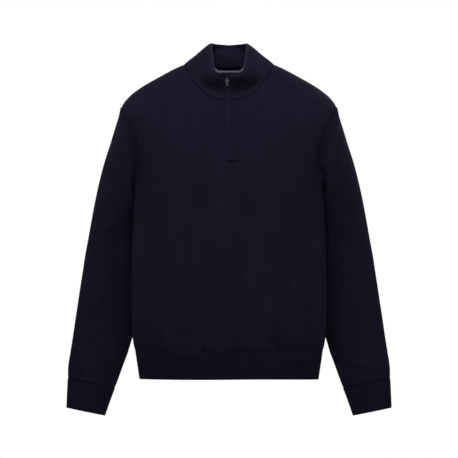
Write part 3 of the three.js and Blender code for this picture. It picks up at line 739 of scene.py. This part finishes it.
# ---- Collar
# A stand collar of doubled rib knit, linked to the neckline. It leans in at the sides and
# back, and its front is hollow above the seam, with a soft rolled edge.
COLLAR_DIPS = (2.5, 2.8, 3.3, 4.2, 5.6, 7, 8.5)
COLLAR_BACK_DIPS = (2.5, 2.4, 2.2, 2.0, 1.7, 1.5, 1.3)
COLLAR_SLOT = 3.0
SLOT_NARROWS = (646, 652)
COLLAR_FROM_SLOT = 0.9
COLLAR_WAVES = 0.5

# side, front, back, side height, front height, back height, squareness
COLLAR_ROWS = [
    (95.8, 83.7, 65.5, 677.5, 600.1, 672.6, 2),
    (85.9, 82, 61.6, 686.3, 612, 681, 2.05),
    (74.6, 81.6, 58.4, 694.9, 624, 690, 2.15),
    (64.5, 83, 55.6, 703.5, 635, 699, 2.3),
    (54.4, 86.5, 54.6, 712.2, 645.5, 708, 2.45),
    (46.2, 90.5, 54, 718.4, 652.5, 713.8, 2.55),
    (39.6, 93, 53.5, 722.4, 657.4, 717.2, 2.6),
]
# Hollows on both sides of the zip, in the form of the body's folds
COLLAR_FOLDS = [
    (-54, 630, -26, 620, 16, -10.0),
    (18, 620, 54, 629, 17, -11.0),
    (-26, 646, -20, 634, 6, 1.0),
    (60, 664, 66, 640, 10, 1.2),
    (-70, 662, -62, 640, 10, 1.2),
]
# Painted light in the same form: under 0 is painted shade, in the hollows and on one side, and
# above 0 a painted highlight beside the zip's top
COLLAR_PAINTED_SHADE_AND_HIGHLIGHT = [
    (-50, 638, -24, 631, 16, -1),
    (13, 634, 52, 640, 18, -1.3),
    (-58, 706, -76, 662, 14, -0.5),
    (6, 651, 22, 650, 5, 1.0),
]
# A painted highlight along the rim: its strength, its rows, and the depth from which it grows
# towards the front
RIM = {"shine": 0.42, "rows": 2.2, "back_y": 18, "grows_over": 30}
# The collar is flat this near to the zip, and its hollows deepen over the next stretch
FLAT_BY_ZIP = 5
HOLLOW_EASE = 17
COLLAR_STEPS = 44
COLLAR_COLUMNS = 230
EDGE_TURNS = 4
CAP_TURNS = 3


def there_and_back(values):
    """A value for each row of a skin: up its face, over the top, down and round the foot."""
    top, foot = values[-1:].repeat(EDGE_TURNS, 0), values[:1].repeat(EDGE_TURNS, 0)
    return np.concatenate([values, top, values[::-1], foot])


def capped(values):
    """The first and last columns again for the rounded ends."""
    start, end = values[:, :1].repeat(CAP_TURNS, 1), values[:, -1:].repeat(CAP_TURNS, 1)
    return np.concatenate([start, values, end], axis=1)


def skin(name, grid, thickness, wraps, mask=None, even_wales=False):
    """A closed skin of a strip of cloth with rounded edges, as a mesh object."""
    rows, count = grid.shape[:2]
    normals = grid_normals(grid, wraps)
    half = np.broadcast_to(thickness, (rows, 1, 1)) / 2
    middle = grid - normals * half
    up = np.gradient(grid, axis=0)
    up /= np.maximum(np.linalg.norm(up, axis=2, keepdims=True), 1e-9)
    arc = np.linspace(0, math.pi, EDGE_TURNS + 2)[1:-1]
    face, inside = middle + normals * half, (middle - normals * half)[::-1]
    top = [middle[-1] + half[-1] * (normals[-1] * math.cos(a) + up[-1] * math.sin(a)) for a in arc]
    foot = [middle[0] - half[0] * (normals[0] * math.cos(a) + up[0] * math.sin(a)) for a in arc]
    loop = np.concatenate([face, top, inside, foot])
    lengths = cloth_lengths(grid)
    if even_wales:
        lengths[..., 0] = lengths[..., 0].mean(axis=0)
    turned = np.arange(1, EDGE_TURNS + 1)[:, None, None]
    edge = lengths[-1] + (0, 1) * turned * half[-1] / 2
    under = lengths[0] - (0, 1) * turned * half[0] / 2
    reach = np.concatenate([lengths, edge, lengths[::-1], under])
    dark = there_and_back(np.zeros((rows, count)) if mask is None else mask)
    if wraps:
        loop, dark = ringed(loop), ringed(dark)
        reach = np.concatenate([reach, reach[:, -1:] + (reach[:, -1:] - reach[:, -2:-1])], axis=1)
    else:
        spine = there_and_back(middle)
        reach_out = there_and_back(half)[:, 0]
        caps = []
        for end, inner in ((0, 1), (-1, -2)):
            out = middle[:, end] - middle[:, inner]
            out /= np.maximum(np.linalg.norm(out, axis=1, keepdims=True), 1e-9)
            out = there_and_back(out) * reach_out
            steps = []
            for a in np.linspace(0, math.pi / 2, CAP_TURNS + 1)[1:]:
                shrunk = spine[:, end] + (loop[:, end] - spine[:, end]) * math.cos(a)
                steps.append(shrunk + out * math.sin(a))
            caps.append(np.stack(steps, axis=1))
        loop = np.concatenate([caps[0][:, ::-1], loop, caps[1]], axis=1)
        reach, dark = capped(reach), capped(dark)
    loop, reach, dark = (np.concatenate([part, part[:1]]) for part in (loop, reach, dark))
    piece = joined(cloth_object(name, loop, quads(*loop.shape[:2]), reach, dark))
    inner = np.zeros((loop.shape[0] - 1, loop.shape[1] - 1), int)
    inner[rows + EDGE_TURNS : 2 * rows + EDGE_TURNS] = 1
    piece.data.attributes.new("inner", "INT", "FACE").data.foreach_set("value", inner.ravel())
    return piece


collar_places = np.linspace(0, len(COLLAR_ROWS) - 1, COLLAR_STEPS)
collar_rows = along(COLLAR_ROWS, collar_places)
collar_dips = along(np.array(COLLAR_DIPS)[:, None], collar_places)
collar_back_dips = along(np.array(COLLAR_BACK_DIPS)[:, None], collar_places)
collar_slot_x = zip_x(collar_rows[:, 4:5])
collar_half = np.interp(collar_rows[:, 4:5], SLOT_NARROWS, [SLOT_HALF, COLLAR_SLOT])
collar_half += COLLAR_FROM_SLOT


def edge_angle(across):
    """The angle at which each ring's front reaches a place across."""
    side, square = collar_rows[:, :1], collar_rows[:, 6:7]
    return 2 * math.pi - np.arccos(np.clip(signed_power(across / side, square / 2), -1, 1))


collar_start = edge_angle(collar_slot_x + collar_half) - 2 * math.pi
collar_end = edge_angle(collar_slot_x - collar_half)
t = np.linspace(0, 1, 4 * FINE)
collar_turn = collar_start * (1 - t) + collar_end * t
collar_grid = oval(collar_rows, collar_turn, collar_dips, collar_back_dips)
collar_grid = evened(collar_grid, COLLAR_COLUMNS)
collar_up = np.arange(COLLAR_STEPS)[:, None]
collar_normals = grid_normals(collar_grid, False)
collar_rise = unevenness(collar_grid, 31, COLLAR_WAVES) * np.clip(collar_up / 8, 0, 1)
collar_facing = np.maximum(-collar_normals[..., 1], 0) * np.clip(collar_up / 7, 0, 1)
# Painted shade in the hollows and on one side, and a painted highlight beside the zip's top.
collar_painted_light = np.clip(-fold_rise(COLLAR_PAINTED_SHADE_AND_HIGHLIGHT, collar_grid, collar_facing), -0.5, 1)
# The collar lies flat where the zip is sewn to it.
from_zip = np.abs(collar_grid[..., 0] - zip_x(collar_grid[..., 2]))
beside_zip = np.clip((from_zip - FLAT_BY_ZIP) / HOLLOW_EASE, 0, 1)
collar_hollows = fold_rise(COLLAR_FOLDS, collar_grid, collar_facing)
collar_rise += collar_hollows * beside_zip**2 * (3 - 2 * beside_zip)
collar_grid = collar_grid + collar_normals * collar_rise[..., None]
# Painted shade at the collar's foot seam and in the hollows.
collar_mask = np.exp(-((collar_up * 1.1) ** 2)) + collar_painted_light
from_rim = COLLAR_STEPS - 1 - collar_up
towards_front = np.clip((RIM["back_y"] - collar_grid[..., 1]) / RIM["grows_over"], 0, 1)
# A painted highlight on the rolled rim, strongest at the front.
collar_mask = collar_mask - RIM["shine"] * np.exp(-((from_rim / RIM["rows"]) ** 2)) * towards_front
collar_thickness = np.interp(collar_up, [0, 30, 39, 43], [3, 3, 4, 4.6])[..., None]
collar = skin("sweater_collar", collar_grid, collar_thickness, False, collar_mask, even_wales=True)
collar_knit = knit_cloth(
    "navy_collar_rib", (0.0068, 0.0058, 0.0145), (0.0138, 0.0122, 0.0288), lines=0.0026, bump=0.4
)
# The collar's inner face is the same navy rib, painted paler as painted light on the inside of the
# collar.
facing_knit_painted_paler = knit_cloth(
    "navy_collar_facing_painted_paler", (0.0118, 0.0102, 0.0243), (0.0235, 0.0208, 0.0486), lines=0.0026, bump=0.4
)
collar.data.materials.append(collar_knit)
collar.data.materials.append(facing_knit_painted_paler)
inner_faces = np.empty(len(collar.data.polygons), int)
collar.data.attributes["inner"].data.foreach_get("value", inner_faces)
collar.data.polygons.foreach_set("material_index", inner_faces)
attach(collar, "garment")
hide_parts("collar")
whole_turn = np.linspace(0, 2 * math.pi, FINE)
whole_collar = oval(collar_rows, whole_turn, collar_dips, collar_back_dips)
collar_tree = tree_of(whole_collar, False)


# ---- Collar edge
# A narrow edge of paler grey lavender knit along the front top of the collar, in two strips
# that meet the zip.
EDGE_KNIT = 2.6
EDGE_ENDS = (-29, 30.5)
EDGE_GAP = 0.35
EDGE_LIFT = 1.0
EDGE_HEIGHT = 2.4
EDGE_INWARD = 0.2
edge_knit = knit_cloth(
    "lavender_edge", (0.088, 0.081, 0.112), (0.185, 0.172, 0.232), wale=0.0015, bump=0.5
)
rim = np.asarray(COLLAR_ROWS[-1], float)
rim_zip_x = zip_x(ZIP["top_z"])
for side, start, end in (
    ("right", EDGE_ENDS[0], rim_zip_x - EDGE_GAP),
    ("left", rim_zip_x + EDGE_GAP, EDGE_ENDS[1]),
):
    x = np.linspace(start, end, 22)
    across = np.abs(x) / rim[0]
    rim_z = rim[4] + (rim[3] - rim[4]) * across ** COLLAR_DIPS[-1]
    rim_y = -rim[1] * (1 - across ** rim[6]) ** (1 / rim[6])
    heights = [rim_z + EDGE_LIFT + EDGE_HEIGHT * k / 5 for k in range(6)]
    rows = [np.stack([x, rim_y + EDGE_INWARD, height], axis=-1) for height in heights]
    strip = skin(f"sweater_collar_edge_{side}", np.stack(rows), EDGE_KNIT, False)
    strip.data.materials.append(edge_knit)
    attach(strip, "garment")
    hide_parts(f"collar_edge_{side}")
    strip_cut = ((end - start + 4) / 1000, 0.01)
    0.7 * strip_cut[0] * strip_cut[1]


# ---- Hem and cuffs
# Bands of firm fine rib knit, 60 mm deep, that draw the body and sleeves in a little. Each
# is linked to the cloth above it and has a soft free edge.
RIB_KNIT = 2.2
RIB_PITCH = 3.2
RIB_RISE = 0.42
RIB_SHADE = 0.35
LINKED_SHADE = 0.3
HEM_WAVE = 0.45
HEM_WAVE_REACH = 46
HEM_ROWS = [(192.4, 104, 91, 0.9, 0.9, 0.9, 2.4), (201.2, 107.9, 94.9, 60.1, 60.1, 60.1, 2.4)]
CUFF_ROWS = [
    (346.7, 0.8, 28, 246.3, -20.2, 50, 23),
    (348, -26, 29, 255, -43, 48.5, 22.5),
    (349.6, -61.2, 30, 267.4, -78.4, 47, 22),
]


def ribbed(rings, per_rib):
    """Rings with even ribs, which soften near both edges, and each column's place in its rib."""
    girth = np.linalg.norm(np.diff(rings[0], axis=0), axis=1).sum()
    ribs = round(girth / RIB_PITCH)
    grid = evened(rings, ribs * per_rib + 1)[:, :-1]
    phase = np.arange(ribs * per_rib) / per_rib * 2 * math.pi
    soft = np.sin(np.linspace(0.25, math.pi - 0.25, len(rings))) ** 0.3
    rise = RIB_RISE * (0.5 + 0.5 * np.cos(phase)) * soft[:, None]
    return grid + grid_normals(grid, True) * rise[..., None], phase


def banded(name, rings, per_rib):
    """A band of ribs, with painted shade between them and where it is linked to the cloth above."""
    grid, phase = ribbed(rings, per_rib)
    from_link = np.arange(len(grid))[::-1, None]
    between = (0.5 - 0.5 * np.cos(phase)) ** 2 * RIB_SHADE
    mask = np.maximum(LINKED_SHADE * np.exp(-((from_link * 1.2) ** 2)), between)
    return skin(name, grid, RIB_KNIT, True, mask)


rib_knit = knit_cloth("navy_rib", (0.0056, 0.0046, 0.0112), (0.0115, 0.0098, 0.0228), bump=0.3)
cuff_knit = knit_cloth("navy_cuff_rib", (0.0064, 0.0053, 0.013), (0.0132, 0.0114, 0.0268), bump=0.3)
hem_places = np.linspace(0, 1, 16)
hem_rings = oval(along(HEM_ROWS, hem_places), np.linspace(0, 2 * math.pi, 8 * FINE))
hem_wave = HEM_WAVE * np.sin(hem_rings[..., :1] / HEM_WAVE_REACH) * hem_places[::-1, None, None]
hem_rings = hem_rings + (0, 0, 1) * hem_wave
hem_normals = ringed(grid_normals(hem_rings[:, :-1], True))
for folds, sign in ((FRONT_FOLDS, -1), (BACK_FOLDS, 1)):
    hem_facing = np.maximum(sign * hem_normals[..., 1], 0)
    hem_rings = hem_rings + hem_normals * fold_rise(folds, hem_rings, hem_facing)[..., None]
hem = banded("sweater_hem_rib", hem_rings, 4)
cuff_turns = np.linspace(0, 2 * math.pi, 2 * FINE)
cuff_rings = sleeve_rings(along(CUFF_ROWS[::-1], np.linspace(0.01, 1.99, 18)), cuff_turns)
cuffs = {"left": banded("sweater_cuff_left", cuff_rings, 5)}
mirrored_mesh = cuffs["left"].data.copy()
cuff_points = np.empty(len(mirrored_mesh.vertices) * 3)
mirrored_mesh.vertices.foreach_get("co", cuff_points)
mirrored_mesh.vertices.foreach_set("co", (cuff_points.reshape(-1, 3) * (-1, 1, 1)).ravel())
mirrored_mesh.flip_normals()
mirrored_mesh.name = "sweater_cuff_right"
cuffs["right"] = bpy.data.objects.new("sweater_cuff_right", mirrored_mesh)
bpy.context.scene.collection.objects.link(cuffs["right"])
joined(cuffs["right"])
# Cut as straight bands, each closed into a ring by one seam.
for band, node, cloth, cut, above in (
    (hem, "hem_rib", rib_knit, (1.0, 0.06), ["sweater_front", "sweater_back"]),
    (cuffs["left"], "cuff_left", cuff_knit, (0.24, 0.06), ["sweater_sleeve_left"]),
    (cuffs["right"], "cuff_right", cuff_knit, (0.24, 0.06), ["sweater_sleeve_right"]),
):
    band.data.materials.clear()
    band.data.materials.append(cloth)
    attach(band, "garment")
    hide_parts(node)


# ---- Zip welts and foot bar
# Two narrow welts of the knit, folded in half and sewn along the slit, nearly hide the zip.
# A short bar of dense stitches closes the slit at its foot.
WELT = {"top": 629, "middle": 2.3, "half": 1.85, "lift": 0.35, "bulge": 0.75, "thick": 1.5}
# The bar's low and high edges are this far below the zip's foot
BAR = {"start": -6.3, "end": 16.8, "low": 3.5, "high": 0.5, "lift": 1.2, "thick": 0.9}
IN_FRONT = -300


def front_point(x, z, out):
    """A point on the front of the body or collar, moved out by a distance."""
    # A line that passes between neckline and collar is tried again a little lower.
    best, lower = None, 0
    while best is None:
        for tree in (body_tree, collar_tree):
            start = Vector((x, IN_FRONT, z - lower))
            hit, normal, _, _ = tree.ray_cast(start, Vector((0, 1, 0)))
            if hit is not None and hit.y < 0 and (best is None or hit.y < best[0].y):
                best = (hit + Vector((0, 0, lower)), normal if normal.y < 0 else -normal)
        lower += 1
    return best[0] + best[1] * out


def zip_strip(low, high, steps, columns):
    """Points on the front: each column has its place across from the zip and its own height."""
    rows = []
    for z in np.linspace(low, high, steps):
        middle = zip_x(z)
        rows.append([front_point(middle + across, z, out) for across, out in columns])
    return np.array(rows)


welt_knit = knit_cloth(
    "navy_welt", (0.0084, 0.0071, 0.0188), (0.0172, 0.0147, 0.0372), wale=0.0014, course=0.0012
)
for name, sign in (("left", 1), ("right", -1)):
    across = []
    for a in np.linspace(-1, 1, 9):
        bulge = WELT["bulge"] * math.sqrt(max(1 - a * a, 0))
        across.append((WELT["middle"] + WELT["half"] * a, WELT["lift"] + bulge))
    if sign < 0:
        across = [(-x, out) for x, out in reversed(across)]
    strip = zip_strip(ZIP["foot_z"] + 0.6, WELT["top"], 90, across)
    piece = skin(f"sweater_zip_welt_{name}", strip, WELT["thick"], False)
    piece.data.materials.append(welt_knit)
    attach(piece, "garment")
    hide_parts(f"zip_welt_{name}")
bar_columns = [(x, BAR["lift"]) for x in np.linspace(BAR["start"], BAR["end"], 26)]
bar_strip = zip_strip(ZIP["foot_z"] - BAR["low"], ZIP["foot_z"] - BAR["high"], 7, bar_columns)
bar_knit = knit_cloth("navy_bar", (0.0028, 0.0024, 0.005), (0.006, 0.0052, 0.011), wale=0.0012)
bar = skin("sweater_zip_foot", bar_strip, BAR["thick"], False)
bar.data.materials.append(bar_knit)
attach(bar, "garment")
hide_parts("zip_foot")


# ---- Zip
# Woven tapes behind the slit with two rows of moulded metal teeth, a slider near the top
# and a flat pull tab with a hole.
TAPE_DEPTH = 4.05
TAPE_ACROSS = (0.6, 11)
TAPE_THICK = 0.8
TAPE_PAINTED_HIGHLIGHT = 0.55
SLIDER_Z = 639
ZIP_END = 656
# How far each side has opened at the zip's end, above the slider
TAPE_SPREAD = 1.7
TOOTH_SPREAD = 1.9
TOOTH_PITCH = 2.0
TOOTH_FROM_MIDDLE = 0.35
TOOTH_OUTWARD = 0.5
TOOTH_OFF_TAPE = 0.55
TOOTH_HALF_SIZE = (1.1, 0.62, 0.75)
TOOTH_NARROWS = 0.72
tape_knit = knit_cloth(
    "navy_tape", (0.0045, 0.004, 0.0085), (0.0105, 0.0095, 0.019), wale=0.0011, course=0.0008
)
metal = bpy.data.materials.new("dark_nickel")
metal.use_nodes = True
metal_start = Wire(metal.node_tree.nodes)
metal_place = metal_start.node("ShaderNodeTexCoord", {}, {}, 3)
scratches = {"Vector": metal_place, "Scale": 900, "Detail": 4, "Roughness": 0.7}
scuffs = metal_start.node("ShaderNodeTexNoise", {}, scratches)
nickel = scuffs.blend((0.055, 0.055, 0.062), (0.15, 0.15, 0.16))
metal_shader = metal.node_tree.nodes["Principled BSDF"]
metal_links = metal.node_tree.links
metal_links.new(nickel.socket, metal_shader.inputs["Base Color"])
metal_links.new((0.28 + 0.25 * scuffs).socket, metal_shader.inputs["Roughness"])
metal_shader.inputs["Metallic"].default_value = 0.9


def tooth_box(centre, out, half_wide, half_high, half_deep):
    """Eight corners of a tooth, narrower at its free end."""
    corners = []
    for x, narrow in ((-half_wide * out, 1.0), (half_wide * out, TOOTH_NARROWS)):
        for y in (-half_deep, half_deep):
            for z in (-half_high * narrow, half_high * narrow):
                corners.append((centre[0] + x, centre[1] + y, centre[2] + z))
    return corners


TOOTH_FACES = ((0, 1, 3, 2), (4, 6, 7, 5), (0, 4, 5, 1), (2, 3, 7, 6), (0, 2, 6, 4), (1, 5, 7, 3))
for name, sign in (("left", 1), ("right", -1)):
    columns_across = [(sign * x, -TAPE_DEPTH) for x in np.linspace(*TAPE_ACROSS, 8)]
    if sign < 0:
        columns_across.reverse()
    strip = zip_strip(ZIP["foot_z"] - 4, ZIP_END, 110, columns_across)
    strip[..., 0] += np.interp(strip[..., 2], [SLIDER_Z, ZIP_END], [0, TAPE_SPREAD]) * sign
    # A painted highlight on the tape above the slider, where it spreads open.
    tape_painted_highlight = -TAPE_PAINTED_HIGHLIGHT * np.clip((strip[..., 2] - SLIDER_Z) / 6, 0, 1)
    piece = skin(f"sweater_zip_tape_{name}", strip, TAPE_THICK, False, tape_painted_highlight)
    piece.data.materials.append(tape_knit)
    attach(piece, "garment")
    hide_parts(f"zip_tape_{name}")
    points, faces = [], []
    # The two rows of teeth are half a pitch apart, so that they mesh.
    heights = np.arange(ZIP["foot_z"] + 1, ZIP_END, TOOTH_PITCH)
    for z in heights + (0 if sign > 0 else TOOTH_PITCH / 2):
        opened = np.interp(z, [SLIDER_Z - 2, ZIP_END], [0, TOOTH_SPREAD])
        middle = front_point(zip_x(z) + sign * (TOOTH_FROM_MIDDLE + opened), z, 0)
        depth = TAPE_DEPTH - TOOTH_OFF_TAPE
        centre = (middle.x + sign * TOOTH_OUTWARD, middle.y + depth, middle.z)
        base = len(points)
        points += tooth_box(centre, -sign, *TOOTH_HALF_SIZE)
        faces += [tuple(base + k for k in face) for face in TOOTH_FACES]
    teeth = cloth_object(f"sweater_zip_teeth_{name}", points, faces)
    bevel = teeth.modifiers.new("edges", "BEVEL")
    bevel.width = 0.00022
    bevel.segments = 2
    teeth.data.materials.append(metal)
    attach(teeth, "garment")

for node in ("zip_slider", "pull_tab"):
    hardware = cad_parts[node]
    hardware.data.materials.clear()
    hardware.data.materials.append(metal)
    bevel = hardware.modifiers.new("edges", "BEVEL")
    bevel.width = 0.0002
    bevel.segments = 2
    bevel.limit_method = "ANGLE"
    bevel.angle_limit = math.radians(50)


# ---- Floor
# A wide disk of smooth pale grey paint, at the height where the wearer would stand. It is
# part of the studio and not of the sweater.
FLOOR_HEIGHT = -1.47
FLOOR_RADIUS = 18
FLOOR_SIDES = 96

floor_turns = [2 * math.pi * k / FLOOR_SIDES for k in range(FLOOR_SIDES)]
floor_points = [(0, 0, FLOOR_HEIGHT)] + [
    (FLOOR_RADIUS * math.cos(turn), FLOOR_RADIUS * math.sin(turn), FLOOR_HEIGHT)
    for turn in floor_turns
]
floor_faces = [(0, 1 + k, 1 + (k + 1) % FLOOR_SIDES) for k in range(FLOOR_SIDES)]
floor_mesh = bpy.data.meshes.new("floor")
floor_mesh.from_pydata(floor_points, [], floor_faces)
floor = bpy.data.objects.new("floor", floor_mesh)
bpy.context.scene.collection.objects.link(floor)
floor_paint = bpy.data.materials.new("floor_paint")
floor_paint.use_nodes = True
floor_shader = floor_paint.node_tree.nodes["Principled BSDF"]
floor_shader.inputs["Base Color"].default_value = (0.82, 0.82, 0.82, 1)
floor_shader.inputs["Roughness"].default_value = 0.9
floor_mesh.materials.append(floor_paint)
